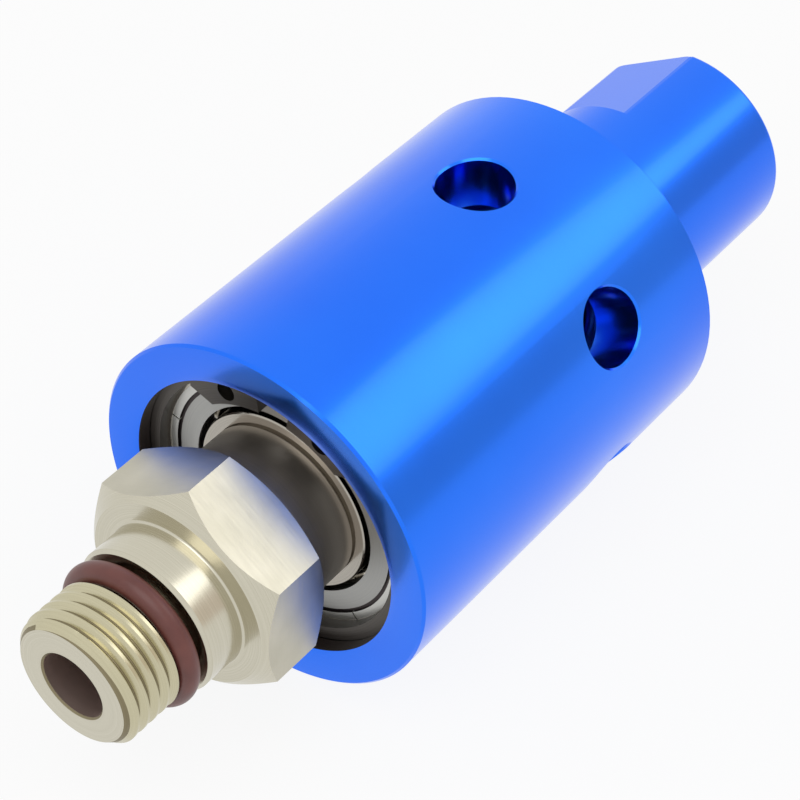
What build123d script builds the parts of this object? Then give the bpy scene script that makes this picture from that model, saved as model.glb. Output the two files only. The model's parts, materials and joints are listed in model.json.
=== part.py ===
"""Hydraulic rotary union: a spindle-driven rotor carried on two bearings in a stationary housing.

X runs along the spin axis from the spindle towards the inlet port, and +Z is up.
The origin is on the axis, at the face where the hexagon seats against the spindle.
"""
from build123d import *
from math import asin, cos, degrees, radians, sin, sqrt, tan
import os

# ---- driving dimensions, millimetres and degrees -------------------------------------------

# Clearances
press_gap = 0.01                # two pieces of one body that are pressed together
slide_gap = 0.05                # radial clearance of a running or sliding fit
ball_gap = 0.05                 # between a ball and each race
pocket_gap = 0.08               # between a ball and its cage pocket

# Rotor, in front of the origin: thread, O-ring gland and pilot
thread_radius = 8.0             # M16 x 1.5
thread_length = 7.2
thread_chamfer = 1.0
gland_width = 3.2
gland_depth = 1.3               # below the thread's major radius
pilot_radius = 9.0
pilot_length = 5.6
pilot_chamfer = 0.4
rotor_bore_radius = 4.0
bore_countersink = 0.2
pilot_o_ring_section = 2.3
pilot_o_ring_rest = 0.05        # from the gland's front wall

# Rotor, behind the origin: hexagon, shoulder, journal and seal pocket
hex_across_flats = 24.0
hex_length = 9.8
hex_front_land = 0.9            # flat ring around the pilot
hex_rear_land = 0.5             # the rear chamfer's bite into a flat
hex_chamfer_angle = 30.0
hex_turn = 3.5                  # one corner's turn from +Z about +X
journal_radius = 8.5
shoulder_height = 1.9           # above the journal
shoulder_chamfer = 0.3
rotor_end_margin = 3.8          # journal left behind the external circlip
end_chamfer = 0.4
seal_pocket_wall = 1.5
seal_pocket_depth = 3.0

# Bearings, 17 x 35 x 10 with pressed shields
front_bearing_x = 17.2
bearing_width = 10.0
bearing_outer_radius = 17.5
bearing_edge_chamfer = 0.3
inner_ring_wall = 2.8           # at the land beside the ball groove
outer_ring_wall = 2.8
shield_seat_wall = 1.64         # outer ring outside the shield
shield_seat_depth = 0.95
ball_radius = 2.381
ball_count = 10
cage_wall = 1.3
cage_width = 5.8
shield_gap = 0.7                # to the inner ring
shield_sheet = 0.35
shield_rim_width = 0.95
shield_groove_width = 0.45
shield_recess = 0.1
shield_slit_width = 0.22
shield_slit_count = 5
shield_turn = -3.3              # one slit's turn from +Z about +X
spacer_length = 6.0
inner_spacer_wall = 2.4
outer_spacer_wall = 1.9

# Internal circlip in the housing mouth
circlip_thickness = 1.5
circlip_groove_depth = 1.0
circlip_reach = 1.4             # inside the bearing's outer radius
circlip_offset = 0.35           # inner edge's shift towards the gap
circlip_turn = 2.2              # middle of the gap, turned from +Z about +X
circlip_half_gap = 8.0          # half of the gap, degrees
circlip_lug_reach = 4.1
circlip_lug_span = 30.0         # inner edge of a lug, degrees
circlip_lug_slope = 6.5         # sloping side of a lug, degrees
plier_hole_radius = 1.15
plier_hole_reach = 2.5
plier_hole_turn = 25.0

# External circlip behind the rear bearing
shaft_clip_thickness = 1.0
shaft_clip_groove_depth = 0.4
shaft_clip_height = 1.7         # above the journal
shaft_clip_half_gap = 14.0
shaft_clip_lug_height = 3.1

# Housing
mouth_x = 13.6
body_radius = 22.0
body_length = 55.5
stub_radius = 13.0
stub_length = 29.1
front_chamfer = 0.3
rear_chamfer = 0.8
stub_rounding = 0.6
mouth_chamfer = 0.4
mouth_relief = 0.45             # counterbore in front of the bearing, above the bearing's radius
bearing_shoulder = 2.0          # step behind the rear bearing
chamber_length = 17.8
vent_radius = 4.5
vent_chamfer = 0.25
vent_count = 6
vent_from_rear = 17.3           # vent axis to the body's rear face
flat_depth = 1.5                # wrench flats, 23 across
flat_length = 15.2
flat_turn = -30.0               # first flat's normal, turned from +Z about +X
throat_radius = 5.0
port_radius = 8.33              # G3/8, at the thread's major radius
port_depth = 14.0
port_chamfer = 1.0

# Seal rings and floating carrier
rotating_ring_stand_out = 1.0   # lapped face in front of the rotor's end
seal_face_inner_radius = 4.6
seal_face_outer_radius = 6.3
seal_nose_length = 1.0
carbon_ring_length = 4.0
seal_ring_bore_radius = 4.4     # both seal rings, clear of the rotor's bore
carrier_flow_radius = 4.5
carrier_start = 1.5             # carrier's front face behind the seal face
carrier_flange_gap = 2.3        # to the chamber's wall
carrier_flange_length = 4.0
flange_rounding = 0.4
carrier_tube_radius = 7.5
carrier_tube_length = 19.5
carrier_travel_room = 3.0
spring_wire_radius = 0.6
spring_inner_gap = 0.9          # to the carrier's tube
spring_turns = 3.0
pin_radius = 1.25
pin_spring_gap = 0.45
pin_length = 13.5
pin_seat_depth = 4.0
pin_turn = 30.0
pin_slot_gap = 0.15
seal_groove_from_chamber = 5.0
seal_groove_width = 3.9
carrier_o_ring_section = 2.15
backup_ring_width = 1.2

# ---- radii and stations that follow from them ----------------------------------------------

gland_radius = thread_radius - gland_depth
hex_front_land_radius = pilot_radius + hex_front_land
hex_rear_land_radius = hex_across_flats / 2 - hex_rear_land
shoulder_radius = journal_radius + shoulder_height
seal_pocket_radius = journal_radius - seal_pocket_wall
inner_land_radius = journal_radius + inner_ring_wall
outer_land_radius = bearing_outer_radius - outer_ring_wall
shield_seat_radius = bearing_outer_radius - shield_seat_wall
shield_inner_radius = inner_land_radius + shield_gap
ball_pitch_radius = (inner_land_radius + outer_land_radius) / 2
circlip_groove_radius = bearing_outer_radius + circlip_groove_depth
circlip_inner_radius = bearing_outer_radius - circlip_reach
circlip_lug_radius = bearing_outer_radius - circlip_lug_reach
plier_hole_pitch_radius = bearing_outer_radius - plier_hole_reach
shaft_clip_groove_radius = journal_radius - shaft_clip_groove_depth
shaft_clip_outer_radius = journal_radius + shaft_clip_height
shaft_clip_lug_radius = journal_radius + shaft_clip_lug_height
chamber_radius = bearing_outer_radius - bearing_shoulder
carrier_flange_radius = chamber_radius - carrier_flange_gap
carrier_bore_radius = carrier_tube_radius + slide_gap
seal_groove_radius = carrier_bore_radius + carrier_o_ring_section + slide_gap
spring_mean_radius = carrier_tube_radius + spring_inner_gap + spring_wire_radius
pin_pitch_radius = spring_mean_radius + spring_wire_radius + pin_spring_gap + pin_radius
flat_half_width = stub_radius - flat_depth

tip_x = -(thread_length + gland_width + pilot_length)
gland_start_x = -(gland_width + pilot_length)
bearing_rear_face_x = front_bearing_x + 2 * bearing_width + spacer_length
rear_bearing_x = front_bearing_x + bearing_width + spacer_length
rotor_end_x = bearing_rear_face_x + shaft_clip_thickness + rotor_end_margin
seal_face_x = rotor_end_x + rotating_ring_stand_out
carrier_front_x = seal_face_x + carrier_start
carrier_back_x = carrier_front_x + carrier_flange_length
chamber_end_x = bearing_rear_face_x + chamber_length
carrier_end_x = carrier_back_x + carrier_tube_length
throat_x = carrier_end_x + carrier_travel_room
body_end_x = mouth_x + body_length
stub_end_x = body_end_x + stub_length
vent_x = body_end_x - vent_from_rear


# ---- helpers -------------------------------------------------------------------------------

def turned(*profile):
    """A solid of revolution about X; each profile point is (x, radius)."""
    return revolve(make_face(Polyline(*profile, close=True)), Axis.X)


def tube(start, end, inner_radius, outer_radius):
    """A plain ring from one station to another."""
    return turned((start, inner_radius), (start, outer_radius), (end, outer_radius), (end, inner_radius))


def polar(radius, turn):
    """A point of the YZ plane at a turn from +Z about +X."""
    return (-radius * sin(radians(turn)), radius * cos(radians(turn)))


def across(start, length, sketch):
    """A sketch of the YZ plane, extruded along +X from a station."""
    return extrude(Plane.YZ.offset(start) * sketch, length, dir=(1, 0, 0))


def radial(turn, station):
    """A location on the axis whose Z points outwards at a turn from +Z about +X."""
    return Pos(station, 0, 0) * Rot(turn, 0, 0)


def widest_rim(solid, station):
    """The widest circular edge of a turned solid at a station."""
    rims = solid.edges().filter_by(GeomType.CIRCLE)
    return max((rim for rim in rims if abs(rim.arc_center.X - station) < 0.001),
               key=lambda rim: rim.radius)


def middle_point(start, end):
    """The point halfway between two profile points."""
    return ((start[0] + end[0]) / 2, (start[1] + end[1]) / 2)


def o_ring(middle, inner_radius, section):
    """A round rubber ring about X."""
    wire = Pos(middle, inner_radius + section / 2) * Circle(section / 2)
    return revolve(wire, Axis.X)


# ---- rotor ---------------------------------------------------------------------------------

def hexagon():
    """The wrench hexagon, with a turned chamfer on each end."""
    corner_radius = hex_across_flats / sqrt(3)
    prism = across(0, hex_length, Rot(0, 0, hex_turn) * RegularPolygon(corner_radius, 6, rotation=90))
    slope = tan(radians(hex_chamfer_angle))
    reach = corner_radius + 1
    front_low = (0, hex_front_land_radius)
    front_high = ((reach - hex_front_land_radius) * slope, reach)
    rear_high = (hex_length - (reach - hex_rear_land_radius) * slope, reach)
    rear_low = (hex_length, hex_rear_land_radius)
    # Straight splines, so that the chamfers meet the flats in splines and not in hyperbolas
    outline = Curve() + [
        Bezier(front_low, middle_point(front_low, front_high), front_high),
        Line(front_high, rear_high),
        Bezier(rear_high, middle_point(rear_high, rear_low), rear_low),
        Polyline(rear_low, (hex_length, 0), (0, 0), front_low)]
    envelope = revolve(make_face(outline), Axis.X)
    return prism & envelope


def make_rotor():
    """Thread, O-ring gland, pilot, hexagon, bearing journal and seal pocket in one piece."""
    clip_x = bearing_rear_face_x
    shaft = turned(
        (tip_x, 0), (tip_x, thread_radius - thread_chamfer), (tip_x + thread_chamfer, thread_radius),
        (gland_start_x, thread_radius), (gland_start_x, gland_radius), (-pilot_length, gland_radius),
        (-pilot_length, pilot_radius - pilot_chamfer), (pilot_chamfer - pilot_length, pilot_radius),
        (0, pilot_radius), (hex_length, pilot_radius), (hex_length, shoulder_radius),
        (front_bearing_x - shoulder_chamfer, shoulder_radius),
        (front_bearing_x, shoulder_radius - shoulder_chamfer), (front_bearing_x, journal_radius),
        (clip_x, journal_radius), (clip_x, shaft_clip_groove_radius),
        (clip_x + shaft_clip_thickness, shaft_clip_groove_radius),
        (clip_x + shaft_clip_thickness, journal_radius),
        (rotor_end_x - end_chamfer, journal_radius), (rotor_end_x, journal_radius - end_chamfer),
        (rotor_end_x, 0))
    bore = turned(
        (tip_x, 0), (tip_x, rotor_bore_radius + bore_countersink),
        (tip_x + bore_countersink, rotor_bore_radius),
        (rotor_end_x - seal_pocket_depth, rotor_bore_radius),
        (rotor_end_x - seal_pocket_depth, seal_pocket_radius), (rotor_end_x, seal_pocket_radius),
        (rotor_end_x, 0))
    return shaft + hexagon() - bore


# ---- bearings ------------------------------------------------------------------------------

def race_groove(middle):
    """The ring that both races' ball grooves are cut with."""
    return o_ring(middle, ball_pitch_radius - ball_radius - ball_gap, 2 * (ball_radius + ball_gap))


def make_outer_ring(start):
    end = start + bearing_width
    edge = bearing_edge_chamfer
    body = turned(
        (start, shield_seat_radius), (start, bearing_outer_radius - edge),
        (start + edge, bearing_outer_radius), (end - edge, bearing_outer_radius),
        (end, bearing_outer_radius - edge), (end, shield_seat_radius),
        (end - shield_seat_depth, shield_seat_radius), (end - shield_seat_depth, outer_land_radius),
        (start + shield_seat_depth, outer_land_radius), (start + shield_seat_depth, shield_seat_radius))
    return body - race_groove(start + bearing_width / 2)


def make_inner_ring(start):
    end = start + bearing_width
    edge = bearing_edge_chamfer
    bore_radius = journal_radius + press_gap
    body = turned(
        (start + edge, bore_radius), (start, bore_radius + edge), (start, inner_land_radius - edge / 2),
        (start + edge / 2, inner_land_radius), (end - edge / 2, inner_land_radius),
        (end, inner_land_radius - edge / 2), (end, bore_radius + edge), (end - edge, bore_radius))
    return body - race_groove(start + bearing_width / 2)


def ball_places(start):
    """One location at each ball's centre."""
    for index in range(ball_count):
        yield radial(360 * index / ball_count, start + bearing_width / 2) * Pos(0, 0, ball_pitch_radius)


def make_balls(start):
    return Compound([place * Sphere(ball_radius) for place in ball_places(start)])


def make_cage(start):
    middle = start + bearing_width / 2
    ring = tube(middle - cage_width / 2, middle + cage_width / 2,
                ball_pitch_radius - cage_wall / 2, ball_pitch_radius + cage_wall / 2)
    for place in ball_places(start):
        ring -= place * Sphere(ball_radius + pocket_gap)
    return ring


def make_shield(face, inward):
    """A pressed shield: flat web, a groove, and a crimped rim with slits.

    face is the bearing face it closes, and inward is +1 or -1 along X.
    """
    def at(depth, radius):
        return (face + inward * depth, radius)

    rim_outer = shield_seat_radius - press_gap
    rim_inner = rim_outer - shield_rim_width
    web_outer = rim_inner - shield_groove_width
    web_depth = shield_recess + 0.1 * shield_rim_width
    rim_back = shield_seat_depth - press_gap
    sheet = turned(
        at(shield_recess, rim_outer), at(shield_recess, rim_inner),
        at(shield_recess + shield_sheet, rim_inner), at(shield_recess + shield_sheet, web_outer),
        at(web_depth, web_outer), at(web_depth, shield_inner_radius),
        at(web_depth + shield_sheet, shield_inner_radius),
        at(web_depth + shield_sheet, web_outer - shield_sheet), at(rim_back, web_outer),
        at(rim_back, rim_outer))
    slit_depth = shield_recess + 0.8 * shield_sheet
    for index in range(shield_slit_count):
        turn = shield_turn + 360 * index / shield_slit_count
        place = radial(turn, face) * Pos(0, 0, (rim_inner + rim_outer) / 2)
        sheet -= place * Box(2 * slit_depth, shield_slit_width, 2 * shield_rim_width)
    return sheet


# ---- circlips ------------------------------------------------------------------------------

def make_housing_circlip():
    """Internal circlip with two plier lugs that point inwards."""
    start = front_bearing_x - circlip_thickness
    outer = circlip_groove_radius - slide_gap
    clip = across(start, circlip_thickness,
                  Circle(outer) - Pos(*polar(circlip_offset, 0)) * Circle(circlip_inner_radius))
    clip -= across(start, circlip_thickness, Polygon(
        (0, 0), polar(2 * outer, circlip_half_gap), polar(2 * outer, -circlip_half_gap), align=None))
    for side in (1, -1):
        corner = side * (circlip_half_gap + circlip_lug_span)
        foot = corner + side * circlip_lug_slope
        wedge = across(start, circlip_thickness, Polygon(
            (0, 0), polar(circlip_lug_radius, corner), polar(circlip_inner_radius, foot),
            polar(outer, corner), polar(outer, corner / 2), polar(outer, side * circlip_half_gap),
            align=None))
        clip += wedge - tube(start, front_bearing_x, 0, circlip_lug_radius)
    for side in (1, -1):
        y, z = polar(plier_hole_pitch_radius, side * plier_hole_turn)
        clip -= across(start, circlip_thickness, Pos(y, z) * Circle(plier_hole_radius))
    return Rot(circlip_turn, 0, 0) * clip


def make_shaft_circlip():
    """External circlip that holds both inner rings on the journal."""
    inner = shaft_clip_groove_radius + press_gap
    gap = shaft_clip_half_gap
    ring = Circle(shaft_clip_outer_radius) - Circle(inner)
    ring -= Polygon((0, 0), polar(20, gap), polar(20, -gap), align=None)
    for side in (1, -1):
        middle = polar((inner + shaft_clip_lug_radius) / 2, side * (gap + 9))
        lug_half = (shaft_clip_lug_radius - inner) / 2
        ring += Pos(*middle) * Circle(lug_half)
        ring -= Pos(*middle) * Circle(lug_half / 2)
    return across(bearing_rear_face_x, shaft_clip_thickness, ring - Circle(inner))


# ---- housing -------------------------------------------------------------------------------

def make_housing():
    """Body and inlet stub turned from one bar, with vents, wrench flats and stepped bores."""
    shell = turned(
        (mouth_x, 0), (mouth_x, body_radius - front_chamfer), (mouth_x + front_chamfer, body_radius),
        (body_end_x - rear_chamfer, body_radius), (body_end_x, body_radius - rear_chamfer),
        (body_end_x, stub_radius), (stub_end_x, stub_radius), (stub_end_x, 0))
    shell = fillet(widest_rim(shell, stub_end_x), stub_rounding)

    for turn in (flat_turn, flat_turn + 180):
        spare = body_radius
        cut = Box(flat_length, 2 * spare, spare, align=(Align.MAX, Align.CENTER, Align.MIN))
        shell -= radial(turn, stub_end_x) * Pos(0, 0, flat_half_width) * cut

    for index in range(vent_count):
        place = radial(360 * index / vent_count, vent_x)
        shell -= place * Cylinder(vent_radius, body_radius + 1,
                                  align=(Align.CENTER, Align.CENTER, Align.MIN))
    shell = chamfer(shell.edges().filter_by(GeomType.BSPLINE), vent_chamfer)

    bearing_bore = bearing_outer_radius + press_gap
    mouth_radius = bearing_outer_radius + mouth_relief
    groove_end = front_bearing_x
    groove_start = groove_end - circlip_thickness - 0.1
    seal_groove_x = chamber_end_x + seal_groove_from_chamber
    hollow = turned(
        (mouth_x, 0), (mouth_x, mouth_radius + mouth_chamfer), (mouth_x + mouth_chamfer, mouth_radius),
        (groove_start, mouth_radius), (groove_start, circlip_groove_radius),
        (groove_end, circlip_groove_radius), (groove_end, bearing_bore),
        (bearing_rear_face_x, bearing_bore), (bearing_rear_face_x, chamber_radius),
        (chamber_end_x, chamber_radius), (chamber_end_x, carrier_bore_radius),
        (seal_groove_x, carrier_bore_radius), (seal_groove_x, seal_groove_radius),
        (seal_groove_x + seal_groove_width, seal_groove_radius),
        (seal_groove_x + seal_groove_width, carrier_bore_radius), (throat_x, carrier_bore_radius),
        (throat_x, throat_radius), (stub_end_x - port_depth, throat_radius),
        (stub_end_x - port_depth, port_radius), (stub_end_x - port_chamfer, port_radius),
        (stub_end_x, port_radius + port_chamfer), (stub_end_x, 0))
    shell -= hollow
    for pin_place in pin_places(press_gap):
        shell -= pin_place
    return shell


# ---- seal rings and floating carrier -------------------------------------------------------

def pin_places(extra_radius):
    """Both anti-rotation pins, grown by a clearance for the holes that take them."""
    start = chamber_end_x + pin_seat_depth - pin_length
    for turn in (pin_turn, pin_turn + 180):
        y, z = polar(pin_pitch_radius, turn)
        yield across(start, pin_length, Pos(y, z) * Circle(pin_radius + extra_radius))


def make_rotating_seal_ring():
    start = rotor_end_x - seal_pocket_depth
    return tube(start, seal_face_x, seal_ring_bore_radius, seal_pocket_radius - press_gap)


def make_stationary_seal_ring():
    nose_end = seal_face_x + seal_nose_length
    end = seal_face_x + carbon_ring_length
    return turned(
        (seal_face_x, seal_face_inner_radius), (seal_face_x, seal_face_outer_radius),
        (nose_end, seal_face_outer_radius), (nose_end, seal_pocket_radius), (end, seal_pocket_radius),
        (end, seal_ring_bore_radius), (nose_end, seal_ring_bore_radius))


def make_seal_carrier():
    """Flange with a seal pocket and two pin slots, on a tube that slides in the housing."""
    pocket_end = seal_face_x + carbon_ring_length
    pocket_radius = seal_pocket_radius + press_gap
    body = turned(
        (carrier_front_x, pocket_radius), (carrier_front_x, carrier_flange_radius),
        (carrier_back_x, carrier_flange_radius), (carrier_back_x, carrier_tube_radius),
        (carrier_end_x - end_chamfer, carrier_tube_radius),
        (carrier_end_x, carrier_tube_radius - end_chamfer), (carrier_end_x, carrier_flow_radius),
        (pocket_end, carrier_flow_radius), (pocket_end, pocket_radius))
    body = fillet(widest_rim(body, carrier_front_x), flange_rounding)
    slot_half = pin_radius + pin_slot_gap
    for turn in (pin_turn, pin_turn + 180):
        round_end = Circle(slot_half)
        open_end = Rectangle(2 * slot_half, carrier_flange_radius, align=(Align.CENTER, Align.MIN))
        slot = Rot(0, 0, turn) * Pos(0, pin_pitch_radius) * (round_end + open_end)
        body -= across(carrier_front_x - 1, carrier_flange_length + 2, slot)
    return body


def make_carrier_spring():
    """Coil spring between the carrier's flange and the end of the chamber."""
    start = carrier_back_x + spring_wire_radius + slide_gap
    height = chamber_end_x - spring_wire_radius - slide_gap - start
    path = Plane.YZ.offset(start) * Helix(height / spring_turns, height, spring_mean_radius)
    wire = Plane(origin=path @ 0, z_dir=path % 0) * Circle(spring_wire_radius)
    return sweep(wire, path, is_frenet=True)


def make_carrier_seals():
    """The O-ring and the backup ring behind it, both in the housing's groove."""
    groove_x = chamber_end_x + seal_groove_from_chamber
    ring_middle = groove_x + 0.1 + carrier_o_ring_section / 2
    seal = o_ring(ring_middle, carrier_bore_radius, carrier_o_ring_section)
    backup_start = groove_x + seal_groove_width - backup_ring_width
    backup = tube(backup_start, backup_start + backup_ring_width, carrier_bore_radius,
                  carrier_bore_radius + carrier_o_ring_section)
    return seal, backup


# ---- all nodes -----------------------------------------------------------------------------

def make_bearing(name, start):
    end = start + bearing_width
    return {
        f"{name}_outer_ring": make_outer_ring(start),
        f"{name}_inner_ring": make_inner_ring(start),
        f"{name}_balls": make_balls(start),
        f"{name}_cage": make_cage(start),
        f"{name}_front_shield": make_shield(start, 1),
        f"{name}_rear_shield": make_shield(end, -1),
    }


def make_nodes():
    carrier_o_ring, backup_ring = make_carrier_seals()
    spacer_start = front_bearing_x + bearing_width
    inner_bore = journal_radius + press_gap
    ring_middle = gland_start_x + pilot_o_ring_rest + pilot_o_ring_section / 2
    return {
        "housing": make_housing(),
        "housing_circlip": make_housing_circlip(),
        "rotor": make_rotor(),
        "pilot_o_ring": o_ring(ring_middle, gland_radius + press_gap, pilot_o_ring_section),
        **make_bearing("front_bearing", front_bearing_x),
        **make_bearing("rear_bearing", rear_bearing_x),
        "inner_spacer": tube(spacer_start, rear_bearing_x, inner_bore, inner_bore + inner_spacer_wall),
        "outer_spacer": tube(spacer_start, rear_bearing_x, bearing_outer_radius - outer_spacer_wall,
                             bearing_outer_radius),
        "shaft_circlip": make_shaft_circlip(),
        "rotating_seal_ring": make_rotating_seal_ring(),
        "stationary_seal_ring": make_stationary_seal_ring(),
        "seal_carrier": make_seal_carrier(),
        "carrier_spring": make_carrier_spring(),
        "carrier_o_ring": carrier_o_ring,
        "carrier_backup_ring": backup_ring,
        "anti_rotation_pins": Compound(list(pin_places(0))),
    }


os.makedirs("parts", exist_ok=True)
for node, solid in make_nodes().items():
    export_step(solid, f"parts/{node}.step")
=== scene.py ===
"""Looks of the hydraulic rotary union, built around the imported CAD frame.

Every length is in metres. X is the spin axis, from the rotor's tip to the inlet port.
"""
import json
import math

import bmesh
import bpy
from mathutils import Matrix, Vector


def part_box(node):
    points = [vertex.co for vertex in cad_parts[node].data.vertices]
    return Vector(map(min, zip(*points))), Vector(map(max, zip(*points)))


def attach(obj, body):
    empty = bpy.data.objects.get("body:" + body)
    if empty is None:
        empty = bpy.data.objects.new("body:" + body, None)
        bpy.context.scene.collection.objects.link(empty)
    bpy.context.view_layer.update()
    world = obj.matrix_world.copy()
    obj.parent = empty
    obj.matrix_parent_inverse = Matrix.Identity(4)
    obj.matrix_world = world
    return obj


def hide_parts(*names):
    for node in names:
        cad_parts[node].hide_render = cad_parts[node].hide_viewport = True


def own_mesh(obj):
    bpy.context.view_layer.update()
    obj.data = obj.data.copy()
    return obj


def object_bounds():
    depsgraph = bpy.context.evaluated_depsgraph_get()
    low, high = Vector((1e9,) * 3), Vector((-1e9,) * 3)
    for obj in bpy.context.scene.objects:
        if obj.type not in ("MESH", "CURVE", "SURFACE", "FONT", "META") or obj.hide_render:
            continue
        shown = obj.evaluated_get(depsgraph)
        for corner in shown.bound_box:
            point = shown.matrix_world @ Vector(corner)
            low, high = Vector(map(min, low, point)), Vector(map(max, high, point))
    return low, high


MM = 0.001

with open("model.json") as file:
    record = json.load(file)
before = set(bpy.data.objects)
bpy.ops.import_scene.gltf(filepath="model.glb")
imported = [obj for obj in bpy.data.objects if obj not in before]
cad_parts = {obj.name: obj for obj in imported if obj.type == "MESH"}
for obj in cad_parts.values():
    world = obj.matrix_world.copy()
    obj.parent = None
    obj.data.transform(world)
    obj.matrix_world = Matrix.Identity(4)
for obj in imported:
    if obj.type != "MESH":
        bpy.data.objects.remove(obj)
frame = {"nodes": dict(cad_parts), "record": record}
cad_low, cad_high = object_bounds()
nodes = frame["nodes"]

# ---- driving values ------------------------------------------------------------------------

# Camera, at the reference view
CAMERA_AZIMUTH = -52.54
CAMERA_ELEVATION = 42.71
CAMERA_PLACE = Vector((-130.28, -129.08, 195.35)) * MM
CAMERA_LENS = 115.2

# Rotor thread, M16 x 1.5, and the inlet thread, G3/8
ROTOR_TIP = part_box("rotor")[0].x
THREAD_LENGTH = 7.2 * MM
THREAD_RADIUS = 8.0 * MM
THREAD_PITCH = 1.5 * MM
THREAD_DEPTH = 0.68 * MM
TIP_CHAMFER = 1.0 * MM
BORE_RADIUS = 4.0 * MM
BORE_COUNTERSINK = 0.2 * MM

# Rotor between the thread and the front bearing: gland, pilot, hexagon and shoulder
GLAND_WIDTH = 3.7 * MM
GLAND_RADIUS = 6.4 * MM
PILOT_RADIUS = 9.0 * MM
PILOT_CHAMFER = 0.4 * MM
PILOT_FILLET = 0.3 * MM
O_RING_SECTION = 2.6 * MM
O_RING_REST = 0.35 * MM
HEX_APOTHEM = 12.0 * MM
HEX_LENGTH = 9.8 * MM
HEX_TURN = math.radians(3.5)
HEX_FRONT_LAND = 11.4 * MM
HEX_FRONT_SLOPE = math.tan(math.radians(40))
HEX_REAR_LAND = 11.5 * MM
HEX_REAR_SLOPE = math.tan(math.radians(30))
SHOULDER_RADIUS = 9.9 * MM
SHOULDER_CHAMFER = 0.3 * MM
JOURNAL_INSIDE = 8.0 * MM       # hidden step where the front piece meets the core
SHOULDER_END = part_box("front_bearing_inner_ring")[0].x
CORE_START = SHOULDER_END + 0.01 * MM

PORT_PITCH = 1.337 * MM
PORT_RADIUS = 8.33 * MM
PORT_DEPTH = 14.0 * MM
PORT_THREAD_DEPTH = 0.8 * MM

# Housing mouth: a plain bore with a shallow chamfer, in front of the circlip's groove
MOUTH_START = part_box("housing")[0].x
CIRCLIP_GROOVE_WIDTH = 1.6 * MM
MOUTH_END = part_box("front_bearing_outer_ring")[0].x - CIRCLIP_GROOVE_WIDTH
MOUTH_BORE = 17.51 * MM
MOUTH_CHAMFER_WIDTH = 0.85 * MM
MOUTH_CHAMFER_DEPTH = 0.2 * MM
MOUTH_RELIEF_RADIUS = 17.95 * MM
BODY_RADIUS = 22.0 * MM
BODY_CHAMFER = 0.3 * MM

# The bore in the housing's mouth, up to the front bearing, which gets painted shade
SEAT_START = MOUTH_START + MOUTH_CHAMFER_DEPTH
SEAT_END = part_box("front_bearing_outer_ring")[0].x + 0.1 * MM
SEAT_RADIUS = 18.7 * MM

# Bearing shields: the groove between the web and the crimped rim, where painted shade darkens the
# groove and a painted highlight lightens the rim
SHIELD_GROOVE = (14.45 * MM, 14.90 * MM)
SHIELD_RIM_OUTSIDE = 15.86 * MM

# The darker side of the room, as metal shows it
DARK_SIDE = Vector((0.58, -0.81, 0.05))
DARK_SIDE_COLOUR = (0.80, 0.72, 0.66)

# Colours
ANODISED_DEEP = (0.010, 0.145, 0.93)
ANODISED_LIGHT = (0.014, 0.185, 1.0)
# Painted shade: a dark brown for the housing's bore inside the mouth
MOUTH_BORE_PAINTED_SHADE = (0.070, 0.048, 0.044)
# Painted shade in the bearing shields' groove, and a painted highlight on their crimped rim
SHIELD_GROOVE_PAINTED_SHADE = (0.06, 0.05, 0.05)
SHIELD_RIM_PAINTED_HIGHLIGHT = (0.66, 0.66, 0.63)


# ---- mesh helpers --------------------------------------------------------------------------

def add_object(name, mesh, material=None):
    """Links a mesh as an object of its own, with one material."""
    piece = bpy.data.objects.new(name, mesh)
    bpy.context.scene.collection.objects.link(piece)
    if material:
        piece.data.materials.append(material)
    return piece


def smooth(piece, angle=30):
    """Shades a mesh smooth, with creases where its faces meet at more than angle degrees."""
    mesh = piece.data
    mesh.polygons.foreach_set("use_smooth", [True] * len(mesh.polygons))
    mesh.set_sharp_from_angle(angle=math.radians(angle))


def ring_grid(name, rings):
    """A closed mesh from rings of points; the last ring joins the first."""
    mesh = bpy.data.meshes.new(name)
    count = len(rings[0])
    points = [point for ring in rings for point in ring]
    faces = []
    for row in range(len(rings)):
        following = (row + 1) % len(rings)
        for column in range(count):
            right = (column + 1) % count
            faces.append((row * count + column, row * count + right,
                          following * count + right, following * count + column))
    mesh.from_pydata(points, [], faces)
    mesh.update()
    return mesh


def circle_points(x, radius_at, count, turn=0.0):
    """One ring about X; radius_at gives the radius for each angle from +Z."""
    points = []
    for index in range(count):
        angle = turn + math.tau * index / count
        radius = radius_at(angle)
        points.append((x, -radius * math.sin(angle), radius * math.cos(angle)))
    return points


def plain_rings(profile, count, turn=0.0):
    """Round rings about X for a profile of (x, radius)."""
    return [circle_points(x, lambda angle, radius=radius: radius, count, turn)
            for x, radius in profile]


# ---- node material helpers -----------------------------------------------------------------

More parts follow.
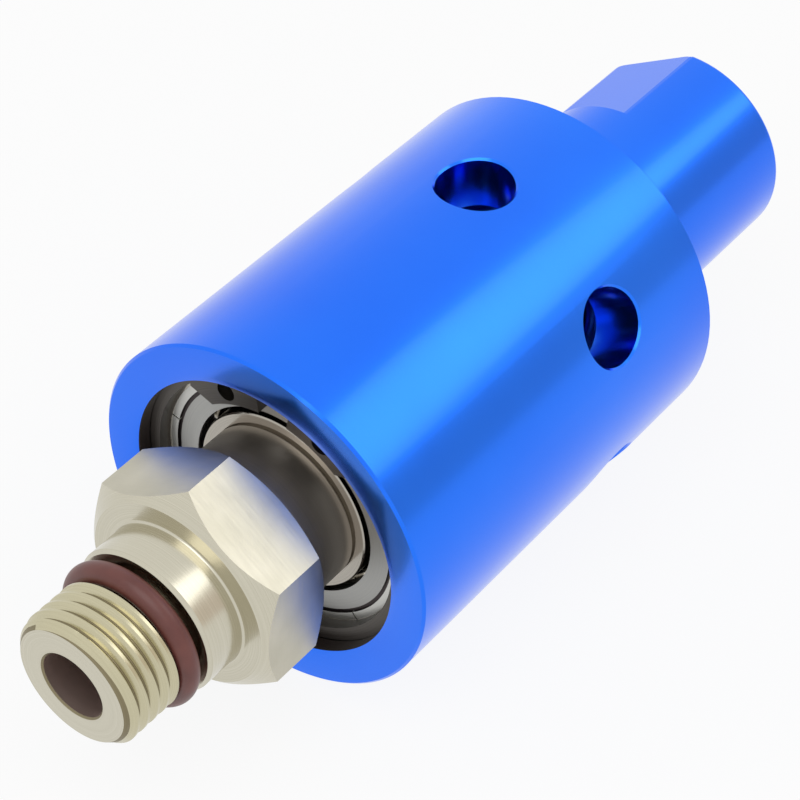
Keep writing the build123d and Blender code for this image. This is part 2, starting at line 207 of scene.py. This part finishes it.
class Shader:
    """A material's node tree with short calls to add nodes and links."""

    def __init__(self, name):
        self.material = bpy.data.materials.new(name)
        self.material.use_nodes = True
        self.tree = self.material.node_tree
        self.tree.nodes.clear()
        self.output = self.add("ShaderNodeOutputMaterial")
        self.bsdf = self.add("ShaderNodeBsdfPrincipled")
        self.link(self.bsdf, "BSDF", self.output, "Surface")
        self.place = self.add("ShaderNodeTexCoord")

    def add(self, kind, **settings):
        node = self.tree.nodes.new(kind)
        for key, value in settings.items():
            setattr(node, key, value)
        return node

    def link(self, source, output, target, name):
        self.tree.links.new(source.outputs[output], target.inputs[name])

    def set(self, **values):
        """Constant values on the principled shader; an underscore stands for a space."""
        for key, value in values.items():
            self.bsdf.inputs[key.replace("_", " ")].default_value = value
        return self

    def stretched(self, x, y, z):
        """Object coordinates scaled along each axis."""
        mapping = self.add("ShaderNodeMapping")
        mapping.inputs["Scale"].default_value = (x, y, z)
        self.link(self.place, "Object", mapping, "Vector")
        return mapping

    def noise(self, vector, scale, detail=3.0, roughness=0.5):
        node = self.add("ShaderNodeTexNoise")
        node.inputs["Scale"].default_value = scale
        node.inputs["Detail"].default_value = detail
        node.inputs["Roughness"].default_value = roughness
        self.tree.links.new(vector.outputs[0], node.inputs["Vector"])
        return node

    def ramp(self, source, output, stops):
        """A colour ramp; stops are (position, colour)."""
        node = self.add("ShaderNodeValToRGB")
        ramp = node.color_ramp
        while len(ramp.elements) < len(stops):
            ramp.elements.new(0.5)
        for element, (position, colour) in zip(ramp.elements, stops):
            element.position = position
            element.color = (*colour, 1.0)
        self.link(source, output, node, "Fac")
        return node

    def spread(self, source, output, low, high):
        """A number between low and high that follows a 0 to 1 source."""
        node = self.add("ShaderNodeMapRange")
        node.inputs["To Min"].default_value = low
        node.inputs["To Max"].default_value = high
        self.link(source, output, node, "Value")
        return node

    def bump(self, source, output, distance):
        """Relief that follows a 0 to 1 source."""
        node = self.add("ShaderNodeBump")
        node.inputs["Distance"].default_value = distance
        node.inputs["Strength"].default_value = 1.0
        self.link(source, output, node, "Height")
        self.link(node, "Normal", self.bsdf, "Normal")


# ---- finishes ------------------------------------------------------------------------------

def turning_vector(shader, per_metre, around=8.0):
    """A vector that changes fast across lathe marks, on cylinders and end faces alike."""
    parts = shader.add("ShaderNodeSeparateXYZ")
    shader.link(shader.place, "Object", parts, "Vector")
    outward = shader.add("ShaderNodeCombineXYZ")
    shader.link(parts, "Y", outward, "Y")
    shader.link(parts, "Z", outward, "Z")
    radius = shader.add("ShaderNodeVectorMath", operation="LENGTH")
    shader.link(outward, "Vector", radius, "Vector")
    along = shader.add("ShaderNodeMath", operation="ADD")
    shader.tree.links.new(parts.outputs["X"], along.inputs[0])
    shader.tree.links.new(radius.outputs["Value"], along.inputs[1])
    quick = shader.add("ShaderNodeMath", operation="MULTIPLY")
    shader.tree.links.new(along.outputs[0], quick.inputs[0])
    quick.inputs[1].default_value = per_metre
    slow = shader.add("ShaderNodeVectorMath", operation="SCALE")
    shader.link(outward, "Vector", slow, "Vector")
    slow.inputs["Scale"].default_value = around
    slow_parts = shader.add("ShaderNodeSeparateXYZ")
    shader.link(slow, "Vector", slow_parts, "Vector")
    joined = shader.add("ShaderNodeCombineXYZ")
    shader.tree.links.new(quick.outputs[0], joined.inputs["X"])
    shader.link(slow_parts, "Y", joined, "Y")
    shader.link(slow_parts, "Z", joined, "Z")
    return joined


def spin_tangent(shader):
    """Stretches highlights as lathe marks around X do."""
    tangent = shader.add("ShaderNodeTangent", direction_type="RADIAL", axis="X")
    shader.link(tangent, "Tangent", shader.bsdf, "Tangent")


def between(shader, source, output, low, high):
    """1 where a number lies between two values, and 0 elsewhere."""
    above = shader.add("ShaderNodeMath", operation="GREATER_THAN")
    shader.tree.links.new(source.outputs[output], above.inputs[0])
    above.inputs[1].default_value = low
    below = shader.add("ShaderNodeMath", operation="LESS_THAN")
    shader.tree.links.new(source.outputs[output], below.inputs[0])
    below.inputs[1].default_value = high
    both = shader.add("ShaderNodeMath", operation="MULTIPLY")
    shader.tree.links.new(above.outputs[0], both.inputs[0])
    shader.tree.links.new(below.outputs[0], both.inputs[1])
    return both


def distance_from_axis(shader):
    """Distance from the X axis in object coordinates."""
    outward = shader.add("ShaderNodeVectorMath", operation="MULTIPLY")
    shader.link(shader.place, "Object", outward, "Vector")
    outward.inputs[1].default_value = (0.0, 1.0, 1.0)
    radius = shader.add("ShaderNodeVectorMath", operation="LENGTH")
    shader.link(outward, "Vector", radius, "Vector")
    return radius


def shield_steel():
    """Pressed shield: a satin web, with painted shade in the groove and a painted highlight on the
    crimped rim.
    """
    shader = Shader("shield_steel")
    shader.set(Metallic=1.0, Anisotropic=0.3)
    marks = shader.noise(turning_vector(shader, 7000.0), 1.0, 3.0)
    web = shader.ramp(marks, "Fac", [(0.25, (0.38, 0.38, 0.37)), (0.75, (0.46, 0.46, 0.44))])
    radius = distance_from_axis(shader)
    colour, output = web, "Color"
    # The groove's band gets painted shade and the rim's band a painted highlight
    shade_and_highlight_bands = ((*SHIELD_GROOVE, SHIELD_GROOVE_PAINTED_SHADE),
             (SHIELD_GROOVE[1], SHIELD_RIM_OUTSIDE, SHIELD_RIM_PAINTED_HIGHLIGHT))
    for low, high, band_colour in shade_and_highlight_bands:
        band = between(shader, radius, "Value", low, high)
        mixed = shader.add("ShaderNodeMix", data_type="RGBA")
        shader.tree.links.new(band.outputs[0], mixed.inputs["Factor"])
        shader.tree.links.new(colour.outputs[output], mixed.inputs["A"])
        mixed.inputs["B"].default_value = (*band_colour, 1.0)
        colour, output = mixed, "Result"
    shader.tree.links.new(colour.outputs[output], shader.bsdf.inputs["Base Color"])
    spread = shader.spread(marks, "Fac", 0.34, 0.50)
    shader.link(spread, "Result", shader.bsdf, "Roughness")
    shader.bump(marks, "Fac", 0.0000008)
    spin_tangent(shader)
    return shader.material


def blue_anodised():
    """Dyed anodised aluminium over fine lathe marks; the bore in the mouth, up to the bearing, gets
    painted shade.
    """
    shader = Shader("blue_anodised")
    shader.set(Metallic=1.0, Anisotropic=0.35, Coat_Weight=0.3, Coat_Roughness=0.10, Coat_IOR=1.5)
    cloud = shader.noise(shader.stretched(1, 1, 1), 26.0, 4.0)
    blue = shader.ramp(cloud, "Fac", [(0.3, ANODISED_DEEP), (0.7, ANODISED_LIGHT)])
    parts = shader.add("ShaderNodeSeparateXYZ")
    shader.link(shader.place, "Object", parts, "Vector")
    # Painted shade on the bore inside the mouth, up to the front bearing
    seat = between(shader, parts, "X", SEAT_START, SEAT_END)
    mixed = shader.add("ShaderNodeMix", data_type="RGBA")
    radius = distance_from_axis(shader)
    inside = shader.add("ShaderNodeMath", operation="LESS_THAN")
    shader.tree.links.new(radius.outputs["Value"], inside.inputs[0])
    inside.inputs[1].default_value = SEAT_RADIUS
    seat_shade_mask = shader.add("ShaderNodeMath", operation="MULTIPLY")
    shader.tree.links.new(seat.outputs[0], seat_shade_mask.inputs[0])
    shader.tree.links.new(inside.outputs[0], seat_shade_mask.inputs[1])
    shader.tree.links.new(seat_shade_mask.outputs[0], mixed.inputs["Factor"])
    shader.tree.links.new(blue.outputs["Color"], mixed.inputs["A"])
    mixed.inputs["B"].default_value = (*MOUTH_BORE_PAINTED_SHADE, 1.0)
    shader.tree.links.new(mixed.outputs["Result"], shader.bsdf.inputs["Base Color"])
    marks = shader.noise(turning_vector(shader, 9000.0), 1.0, 3.0)
    rough = shader.spread(marks, "Fac", 0.17, 0.27)
    shader.link(rough, "Result", shader.bsdf, "Roughness")
    shader.bump(marks, "Fac", 0.0000006)
    spin_tangent(shader)
    return shader.material


def turned_metal(name, dark, light, rough, lines_depth=0.0000015, lines=7000.0, stretch=0.5):
    """Bare turned metal: lathe marks in colour, roughness and relief."""
    shader = Shader(name)
    shader.set(Metallic=1.0, Anisotropic=stretch)
    vector = turning_vector(shader, lines)
    marks = shader.noise(vector, 1.0, 3.0)
    colour = shader.ramp(marks, "Fac", [(0.25, dark), (0.75, light)])
    shader.link(colour, "Color", shader.bsdf, "Base Color")
    spread = shader.spread(marks, "Fac", rough * 0.75, rough * 1.25)
    shader.link(spread, "Result", shader.bsdf, "Roughness")
    shader.bump(marks, "Fac", lines_depth)
    spin_tangent(shader)
    return shader.material


def milled_metal(name, dark, light, rough):
    """Milled flats of the hexagon: fine arcs from the cutter and a soft satin."""
    shader = Shader(name)
    shader.set(Metallic=1.0)
    fine = shader.noise(shader.stretched(5200.0, 260.0, 260.0), 1.0, 4.0)
    wide = shader.noise(shader.stretched(1, 1, 1), 160.0, 3.0)
    colour = shader.ramp(wide, "Fac", [(0.3, dark), (0.7, light)])
    shader.link(colour, "Color", shader.bsdf, "Base Color")
    spread = shader.spread(fine, "Fac", rough * 0.8, rough * 1.25)
    shader.link(spread, "Result", shader.bsdf, "Roughness")
    shader.bump(fine, "Fac", 0.000004)
    return shader.material


def rubber(name, dark, light, rough):
    """Moulded rubber with a faint cloud of bloom and a fine grain."""
    shader = Shader(name)
    shader.set(Specular_IOR_Level=0.45)
    cloud = shader.noise(shader.stretched(1, 1, 1), 420.0, 4.0)
    colour = shader.ramp(cloud, "Fac", [(0.3, dark), (0.7, light)])
    shader.link(colour, "Color", shader.bsdf, "Base Color")
    spread = shader.spread(cloud, "Fac", rough * 0.85, rough * 1.15)
    shader.link(spread, "Result", shader.bsdf, "Roughness")
    shader.bump(shader.noise(shader.stretched(1, 1, 1), 5200.0, 2.0), "Fac", 0.000006)
    return shader.material


def pale_matte(name, dark, light, rough):
    """A plain non-metal with slight cloudiness, for the seal rings and the backup ring."""
    shader = Shader(name)
    cloud = shader.noise(turning_vector(shader, 3000.0), 1.0, 3.0)
    colour = shader.ramp(cloud, "Fac", [(0.3, dark), (0.7, light)])
    shader.link(colour, "Color", shader.bsdf, "Base Color")
    spread = shader.spread(cloud, "Fac", rough * 0.85, rough * 1.15)
    shader.link(spread, "Result", shader.bsdf, "Roughness")
    return shader.material


ANODISED = blue_anodised()
NICKEL = turned_metal("nickel_steel", (0.52, 0.49, 0.39), (0.64, 0.61, 0.50), 0.20)
THREAD_METAL = turned_metal("nickel_steel_thread", (0.50, 0.46, 0.31), (0.60, 0.56, 0.39), 0.24)
# Painted shade: a dark copy of the thread's nickel steel, for the thread's roots
THREAD_ROOT_PAINTED_SHADE = turned_metal("nickel_steel_thread_root_painted_shade", (0.20, 0.17, 0.10), (0.28, 0.24, 0.15), 0.40)
BORE_METAL = turned_metal("nickel_steel_bore", (0.46, 0.36, 0.32), (0.54, 0.43, 0.39), 0.60)
SHAFT_METAL = turned_metal("nickel_steel_shaft", (0.50, 0.46, 0.42), (0.58, 0.53, 0.48), 0.42)
HEX_FLAT = milled_metal("nickel_steel_milled", (0.48, 0.455, 0.36), (0.56, 0.53, 0.43), 0.33)
BEARING = turned_metal("bearing_steel", (0.34, 0.32, 0.28), (0.44, 0.41, 0.36), 0.16)
SHIELD = shield_steel()
DARK_STEEL = turned_metal("spring_steel", (0.085, 0.078, 0.072), (0.14, 0.13, 0.12), 0.45)
STEEL = turned_metal("turned_steel", (0.55, 0.55, 0.54), (0.66, 0.66, 0.65), 0.25)
BROWN_RUBBER = rubber("brown_rubber", (0.13, 0.040, 0.034), (0.17, 0.055, 0.045), 0.38)
BLACK_RUBBER = rubber("black_rubber", (0.018, 0.018, 0.018), (0.030, 0.030, 0.030), 0.45)
PTFE = pale_matte("white_ptfe", (0.74, 0.74, 0.72), (0.82, 0.82, 0.80), 0.5)
CARBIDE = pale_matte("silicon_carbide", (0.05, 0.05, 0.055), (0.08, 0.08, 0.085), 0.18)
GRAPHITE = pale_matte("carbon_graphite", (0.020, 0.020, 0.022), (0.035, 0.035, 0.038), 0.4)

SLOT_FINISH = {
    "blue_anodised": ANODISED, "nickel_steel": NICKEL, "bearing_steel": BEARING,
    "shield_steel": SHIELD, "spring_steel": DARK_STEEL, "turned_steel": STEEL,
    "brown_rubber": BROWN_RUBBER, "black_rubber": BLACK_RUBBER, "white_ptfe": PTFE,
    "silicon_carbide": CARBIDE, "carbon_graphite": GRAPHITE,
}


def dress_nodes():
    """Gives every CAD node the finish of its slot, in place of its plain colour."""
    for part in frame["record"]["subparts"]:
        node = nodes[part["node"]]
        node.data.materials.clear()
        node.data.materials.append(SLOT_FINISH[part["material_slot"]])


# ---- threads -------------------------------------------------------------------------------

# One pitch of a 60 degree thread from root to root: (share of the pitch, share of the depth)
THREAD_SHAPE = [(0.0, 0.0), (0.04, 0.0), (0.08, 0.07), (0.36, 0.94), (0.39, 1.0),
                (0.61, 1.0), (0.64, 0.94), (0.92, 0.07), (0.96, 0.0), (1.0, 0.0)]


def thread_height(phase):
    """Height of the thread's shape at a share of the pitch."""
    phase %= 1.0
    for (before, low), (after, high) in zip(THREAD_SHAPE, THREAD_SHAPE[1:]):
        if phase <= after:
            return low + (high - low) * (phase - before) / (after - before)
    return 0.0


def helix_rows(start, end, pitch, radius_at, count):
    """Rows of points that follow a right-hand helix, one row for each corner of the thread."""
    corners = [share for share, height in THREAD_SHAPE[:-1]]
    rows = []
    for turn in range(-1, math.ceil((end - start) / pitch) + 1):
        for corner in corners:
            row = []
            for index in range(count):
                share = index / count
                x = min(end, max(start, start + pitch * (turn + corner + share)))
                radius = radius_at(x, thread_height((x - start) / pitch - share))
                angle = math.tau * share
                row.append((x, -radius * math.sin(angle), radius * math.cos(angle)))
            rows.append(row)
    return rows


def threaded_mesh(name, start, end, pitch, radius_at, plain, count):
    """A closed mesh: the helical surface, joined by plain rings of (x, radius) behind it."""
    rows = helix_rows(start, end, pitch, radius_at, count)
    per_turn = len(THREAD_SHAPE) - 1
    bm = bmesh.new()
    grid = [[bm.verts.new(point) for point in row] for row in rows]
    for row in range(len(rows) - 1):
        for column in range(count):
            if column + 1 < count:
                corners = (grid[row][column], grid[row][column + 1],
                           grid[row + 1][column + 1], grid[row + 1][column])
            elif row + per_turn + 1 < len(rows):
                corners = (grid[row][column], grid[row + per_turn][0],
                           grid[row + per_turn + 1][0], grid[row + 1][column])
            else:
                continue
            bm.faces.new(corners)
    rings = [rows[0]] + plain_rings(plain, count) + [rows[-1]]
    loops = [[bm.verts.new(point) for point in ring] for ring in rings]
    for low, high in zip(loops, loops[1:]):
        for column in range(count):
            right = (column + 1) % count
            bm.faces.new((low[column], high[column], high[right], low[right]))
    bmesh.ops.remove_doubles(bm, verts=bm.verts, dist=1e-7)
    bmesh.ops.dissolve_degenerate(bm, dist=1e-7, edges=bm.edges)
    bmesh.ops.recalc_face_normals(bm, faces=bm.faces)
    mesh = bpy.data.meshes.new(name)
    bm.to_mesh(mesh)
    bm.free()
    return mesh


def make_rotor_thread():
    """The rotor's threaded tip, with its chamfer and the mouth of the bore."""
    end = ROTOR_TIP + THREAD_LENGTH
    overlap = 0.2 * MM

    def radius_at(x, height):
        cone = THREAD_RADIUS - TIP_CHAMFER + (x - ROTOR_TIP)
        return min(cone, THREAD_RADIUS - THREAD_DEPTH * (1 - height))

    neck = GLAND_RADIUS - 0.02 * MM
    plain = [(ROTOR_TIP, BORE_RADIUS + BORE_COUNTERSINK), (ROTOR_TIP + BORE_COUNTERSINK, BORE_RADIUS),
             (end + overlap, BORE_RADIUS), (end + overlap, neck), (end, neck)]
    mesh = threaded_mesh("rotor_thread", ROTOR_TIP, end, THREAD_PITCH, radius_at, plain, 240)
    piece = add_object("rotor_thread", mesh, THREAD_METAL)
    piece.data.materials.append(NICKEL)
    piece.data.materials.append(BORE_METAL)
    piece.data.materials.append(THREAD_ROOT_PAINTED_SHADE)
    for face in mesh.polygons:
        radius = max(math.hypot(mesh.vertices[index].co.y, mesh.vertices[index].co.z)
                     for index in face.vertices)
        if abs(face.normal.x) > 0.99 and face.center.x < ROTOR_TIP + 0.1 * MM:
            face.material_index = 1
        elif radius < BORE_RADIUS + 0.01 * MM:
            face.material_index = 2
        # The faces at the thread's roots take the painted shade
        elif radius < THREAD_RADIUS - 0.90 * THREAD_DEPTH and face.center.x < end:
            face.material_index = 3
    smooth(piece, 25)
    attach(piece, "rotor")
    return piece


def hexagon_radius(angle):
    """Distance from the axis to the hexagon's side, at an angle from +Z about +X."""
    sixth = math.radians(60)
    return HEX_APOTHEM / math.cos((angle - HEX_TURN) % sixth - sixth / 2)


def hexagon_ring(land, slope, start, direction, count):
    """The curve where an end chamfer meets the six flats."""
    points = []
    for index in range(count):
        angle = HEX_TURN + math.tau * index / count
        radius = hexagon_radius(angle)
        x = start + direction * (radius - land) * slope
        points.append((x, -radius * math.sin(angle), radius * math.cos(angle)))
    return points


def make_rotor_front():
    """Gland, pilot with its root rounding, hexagon and shoulder, with the bore inside."""
    count = 360
    gland_start = ROTOR_TIP + THREAD_LENGTH
    pilot_start = gland_start + GLAND_WIDTH
    before = [(gland_start, BORE_RADIUS), (gland_start, GLAND_RADIUS), (pilot_start, GLAND_RADIUS),
              (pilot_start, PILOT_RADIUS - PILOT_CHAMFER), (pilot_start + PILOT_CHAMFER, PILOT_RADIUS)]
    steps = 8
    for step in range(steps + 1):
        angle = math.radians(90 * step / steps)
        before.append((PILOT_FILLET * (math.sin(angle) - 1),
                       PILOT_RADIUS + PILOT_FILLET * (1 - math.cos(angle))))
    before.append((0.0, HEX_FRONT_LAND))
    after = [(HEX_LENGTH, HEX_REAR_LAND), (HEX_LENGTH, SHOULDER_RADIUS),
             (SHOULDER_END - SHOULDER_CHAMFER, SHOULDER_RADIUS),
             (SHOULDER_END, SHOULDER_RADIUS - SHOULDER_CHAMFER), (SHOULDER_END, JOURNAL_INSIDE),
             (CORE_START, JOURNAL_INSIDE), (CORE_START, BORE_RADIUS)]
    rings = plain_rings(before, count, HEX_TURN)
    rings.append(hexagon_ring(HEX_FRONT_LAND, HEX_FRONT_SLOPE, 0.0, 1, count))
    rings.append(hexagon_ring(HEX_REAR_LAND, HEX_REAR_SLOPE, HEX_LENGTH, -1, count))
    rings += plain_rings(after, count, HEX_TURN)
    mesh = ring_grid("rotor_front", rings)
    piece = add_object("rotor_front", mesh, NICKEL)
    for finish in (HEX_FLAT, SHAFT_METAL, BORE_METAL):
        piece.data.materials.append(finish)
    finishes = {len(before): 1, len(before) + 3: 2, len(before) + 4: 2, len(rings) - 1: 3}
    for face in mesh.polygons:
        face.material_index = finishes.get(face.index // count, 0)
    smooth(piece, 14)
    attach(piece, "rotor")
    return piece


def make_rotor_core():
    """The journal and seal pocket, cut from the CAD solid behind the shoulder."""
    source = nodes["rotor"].data
    bm = bmesh.new()
    bm.from_mesh(source)
    bmesh.ops.remove_doubles(bm, verts=bm.verts, dist=1e-7)
    geometry = bm.verts[:] + bm.edges[:] + bm.faces[:]
    bmesh.ops.bisect_plane(bm, geom=geometry, plane_co=(CORE_START, 0, 0),
                           plane_no=(-1, 0, 0), clear_outer=True)
    rims = [edge for edge in bm.edges if edge.is_boundary]
    bmesh.ops.bridge_loops(bm, edges=rims)
    mesh = bpy.data.meshes.new("rotor_core")
    bm.to_mesh(mesh)
    bm.free()
    if "custom_normal" in mesh.attributes:
        mesh.attributes.remove(mesh.attributes["custom_normal"])
    piece = add_object("rotor_core", mesh, NICKEL)
    smooth(piece, 14)
    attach(piece, "rotor")
    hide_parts("rotor")
    return piece


def make_pilot_o_ring():
    """The O-ring in the rotor's gland, just behind the thread."""
    middle = ROTOR_TIP + THREAD_LENGTH + O_RING_REST + O_RING_SECTION / 2
    centre = GLAND_RADIUS + O_RING_SECTION / 2
    steps = 40
    profile = []
    for step in range(steps):
        angle = math.tau * step / steps
        profile.append((middle - O_RING_SECTION / 2 * math.cos(angle),
                        centre + O_RING_SECTION / 2 * math.sin(angle)))
    mesh = ring_grid("pilot_o_ring_fitted", plain_rings(profile, 200))
    piece = add_object("pilot_o_ring_fitted", mesh, BROWN_RUBBER)
    smooth(piece, 60)
    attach(piece, "rotor")
    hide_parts("pilot_o_ring")
    return piece


def lies_on_circle(edge, x, radius, slack):
    """True if both ends of an edge lie on a circle about X."""
    return all(abs(vert.co.x - x) < slack and abs(math.hypot(vert.co.y, vert.co.z) - radius) < slack
               for vert in edge.verts)


def make_housing_shell():
    """The housing behind its front face and mouth, taken from the CAD mesh."""
    mesh = nodes["housing"].data.copy()
    mesh.name = "housing_shell"
    bm = bmesh.new()
    bm.from_mesh(mesh)
    slack = 0.02 * MM
    gone = []
    for face in bm.faces:
        place = face.calc_center_median()
        radius = math.hypot(place.y, place.z)
        front = place.x < MOUTH_START + BODY_CHAMFER - slack
        wall = place.x < MOUTH_END - slack and radius < MOUTH_RELIEF_RADIUS + slack
        if front or wall:
            gone.append(face)
    bmesh.ops.delete(bm, geom=gone, context="FACES")
    corners = ((MOUTH_START + BODY_CHAMFER, BODY_RADIUS), (MOUTH_END, MOUTH_RELIEF_RADIUS))
    rims = [edge for edge in bm.edges if edge.is_boundary
            and any(lies_on_circle(edge, x, radius, slack) for x, radius in corners)]
    copied = bmesh.ops.duplicate(bm, geom=rims)["geom"]
    copied_rims = [item for item in copied if isinstance(item, bmesh.types.BMEdge)]
    filled = bmesh.ops.triangle_fill(bm, edges=copied_rims, use_beauty=True, normal=(1, 0, 0))
    closing = [item for item in filled["geom"] if isinstance(item, bmesh.types.BMFace)]
    bm.normal_update()
    bmesh.ops.reverse_faces(bm, faces=[face for face in closing if face.normal.x > 0])
    bm.to_mesh(mesh)
    bm.free()
    mesh.materials.clear()
    piece = add_object("housing_shell", mesh, ANODISED)
    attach(piece, "housing")
    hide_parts("housing")
    return piece


def make_housing_mouth():
    """Front face, outer edge and mouth bore of the housing, as one turned ring."""
    back = 0.05 * MM
    profile = [(MOUTH_START + BODY_CHAMFER, BODY_RADIUS), (MOUTH_START, BODY_RADIUS - BODY_CHAMFER),
               (MOUTH_START, MOUTH_BORE + MOUTH_CHAMFER_WIDTH),
               (MOUTH_START + MOUTH_CHAMFER_DEPTH, MOUTH_BORE), (MOUTH_END, MOUTH_BORE),
               (MOUTH_END, MOUTH_RELIEF_RADIUS), (MOUTH_END - back, MOUTH_RELIEF_RADIUS + back),
               (MOUTH_START + BODY_CHAMFER + back, BODY_RADIUS - back)]
    mesh = ring_grid("housing_mouth", plain_rings(profile[::-1], 360))
    piece = add_object("housing_mouth", mesh, ANODISED)
    smooth(piece, 14)
    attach(piece, "housing")
    return piece


def make_carrier_spring():
    """The coil spring, copied from the CAD node's mesh and carried by the housing; in the union it
    shortens as the seal carrier slides back.
    """
    mesh = nodes["carrier_spring"].data.copy()
    mesh.name = "carrier_spring_coil"
    mesh.materials.clear()
    piece = add_object("carrier_spring_coil", mesh, STEEL)
    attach(piece, "housing")
    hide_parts("carrier_spring")
    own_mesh(piece)
    return piece


def make_inlet_thread():
    """Thread ridges inside the inlet port, which stand on the wall of the CAD bore."""
    start = cad_high.x - PORT_DEPTH + 0.5 * MM
    end = cad_high.x - 1.0 * MM
    backing = PORT_RADIUS + 0.03 * MM

    def radius_at(x, height):
        fade = min(1.0, (x - start) / PORT_PITCH, (end - x) / PORT_PITCH)
        return PORT_RADIUS - 0.01 * MM - PORT_THREAD_DEPTH * height * fade

    plain = [(start, backing), (end, backing)]
    mesh = threaded_mesh("inlet_thread", start, end, PORT_PITCH, radius_at, plain, 160)
    piece = add_object("inlet_thread", mesh, ANODISED)
    smooth(piece, 25)
    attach(piece, "housing")
    return piece


# ---- studio --------------------------------------------------------------------------------

def make_camera():
    data = bpy.data.cameras.new("camera")
    data.lens = CAMERA_LENS
    data.clip_start = 0.01
    data.clip_end = 20
    camera = bpy.data.objects.new("camera", data)
    bpy.context.scene.collection.objects.link(camera)
    azimuth = math.radians(CAMERA_AZIMUTH)
    elevation = math.radians(CAMERA_ELEVATION)
    back = Vector((math.sin(azimuth) * math.cos(elevation), -math.cos(azimuth) * math.cos(elevation),
                   math.sin(elevation)))
    camera.location = CAMERA_PLACE
    camera.rotation_mode = "QUATERNION"
    camera.rotation_quaternion = (-back).to_track_quat("-Z", "Y")
    bpy.context.scene.camera = camera


def make_lamp(name, place, target, size, power):
    """A soft square lamp that faces a target."""
    data = bpy.data.lights.new(name, "AREA")
    data.size = size
    data.energy = power
    lamp = bpy.data.objects.new(name, data)
    lamp.location = place
    lamp.rotation_mode = "QUATERNION"
    lamp.rotation_quaternion = (Vector(target) - Vector(place)).to_track_quat("-Z", "Y")
    bpy.context.scene.collection.objects.link(lamp)


def seen_or_reflected(tree):
    """1 for camera, glossy and transmission rays, and 0 for the rays that light the object."""
    paths = tree.nodes.new("ShaderNodeLightPath")
    total = None
    for name in ("Is Camera Ray", "Is Glossy Ray", "Is Transmission Ray"):
        if total is None:
            total = paths.outputs[name]
            continue
        either = tree.nodes.new("ShaderNodeMath")
        either.operation = "MAXIMUM"
        tree.links.new(total, either.inputs[0])
        tree.links.new(paths.outputs[name], either.inputs[1])
        total = either.outputs[0]
    return paths, total


def make_world():
    """Soft room light; seen directly it is white, and metal shows it with one darker side."""
    world = bpy.data.worlds.new("studio")
    bpy.context.scene.world = world
    world.use_nodes = True
    tree = world.node_tree
    tree.nodes.clear()
    output = tree.nodes.new("ShaderNodeOutputWorld")
    room = tree.nodes.new("ShaderNodeBackground")
    room.inputs["Color"].default_value = (1.0, 1.0, 1.0, 1.0)
    room.inputs["Strength"].default_value = 0.55
    seen = tree.nodes.new("ShaderNodeBackground")
    seen.inputs["Strength"].default_value = 1.0
    paths, total = seen_or_reflected(tree)
    mix = tree.nodes.new("ShaderNodeMixShader")
    tree.links.new(total, mix.inputs[0])
    tree.links.new(room.outputs[0], mix.inputs[1])
    tree.links.new(seen.outputs[0], mix.inputs[2])
    tree.links.new(mix.outputs[0], output.inputs["Surface"])
    direction = tree.nodes.new("ShaderNodeTexCoord")
    facing = tree.nodes.new("ShaderNodeVectorMath")
    facing.operation = "DOT_PRODUCT"
    tree.links.new(direction.outputs["Generated"], facing.inputs[0])
    facing.inputs[1].default_value = DARK_SIDE.normalized()
    side = tree.nodes.new("ShaderNodeValToRGB")
    side.color_ramp.interpolation = "EASE"
    side.color_ramp.elements[0].position = 0.80
    side.color_ramp.elements[0].color = (1.0, 1.0, 1.0, 1.0)
    side.color_ramp.elements[1].position = 0.97
    side.color_ramp.elements[1].color = (*DARK_SIDE_COLOUR, 1.0)
    tree.links.new(facing.outputs["Value"], side.inputs["Fac"])
    plain = tree.nodes.new("ShaderNodeMix")
    plain.data_type = "RGBA"
    tree.links.new(paths.outputs["Is Camera Ray"], plain.inputs["Factor"])
    tree.links.new(side.outputs["Color"], plain.inputs["A"])
    plain.inputs["B"].default_value = (1.0, 1.0, 1.0, 1.0)
    tree.links.new(plain.outputs["Result"], seen.inputs["Color"])


def make_floor():
    """A wide pale floor under the housing; it fades to white for the camera but keeps a shadow."""
    side = 6.0
    mesh = bpy.data.meshes.new("floor")
    z = cad_low.z
    corners = [(-side, -side, z), (side, -side, z), (side, side, z), (-side, side, z)]
    mesh.from_pydata(corners, [], [(0, 1, 2, 3)])
    shader = bpy.data.materials.new("floor")
    shader.use_nodes = True
    tree = shader.node_tree
    tree.nodes.clear()
    output = tree.nodes.new("ShaderNodeOutputMaterial")
    plain = tree.nodes.new("ShaderNodeBsdfDiffuse")
    plain.inputs["Color"].default_value = (0.9, 0.9, 0.9, 1.0)
    white = tree.nodes.new("ShaderNodeEmission")
    white.inputs["Strength"].default_value = 1.0
    veil = tree.nodes.new("ShaderNodeMixShader")
    veil.inputs[0].default_value = 0.90
    tree.links.new(plain.outputs[0], veil.inputs[1])
    tree.links.new(white.outputs[0], veil.inputs[2])
    paths, total = seen_or_reflected(tree)
    direct = tree.nodes.new("ShaderNodeMixShader")
    tree.links.new(total, direct.inputs[0])
    tree.links.new(plain.outputs[0], direct.inputs[1])
    tree.links.new(veil.outputs[0], direct.inputs[2])
    tree.links.new(direct.outputs[0], output.inputs["Surface"])
    add_object("floor", mesh, shader)


# ---- assembly ------------------------------------------------------------------------------

make_camera()
make_world()
make_floor()
make_lamp("key", (-0.35, -0.15, 0.75), (0.03, 0, 0), 0.7, 2.2)
make_lamp("fill", (0.58, -0.50, 0.65), (0.03, 0, 0), 0.5, 1.0)
bpy.context.scene.view_settings.view_transform = "Standard"

dress_nodes()
make_rotor_thread()
make_rotor_front()
make_rotor_core()
make_pilot_o_ring()
make_housing_shell()
make_housing_mouth()
make_carrier_spring()
make_inlet_thread()
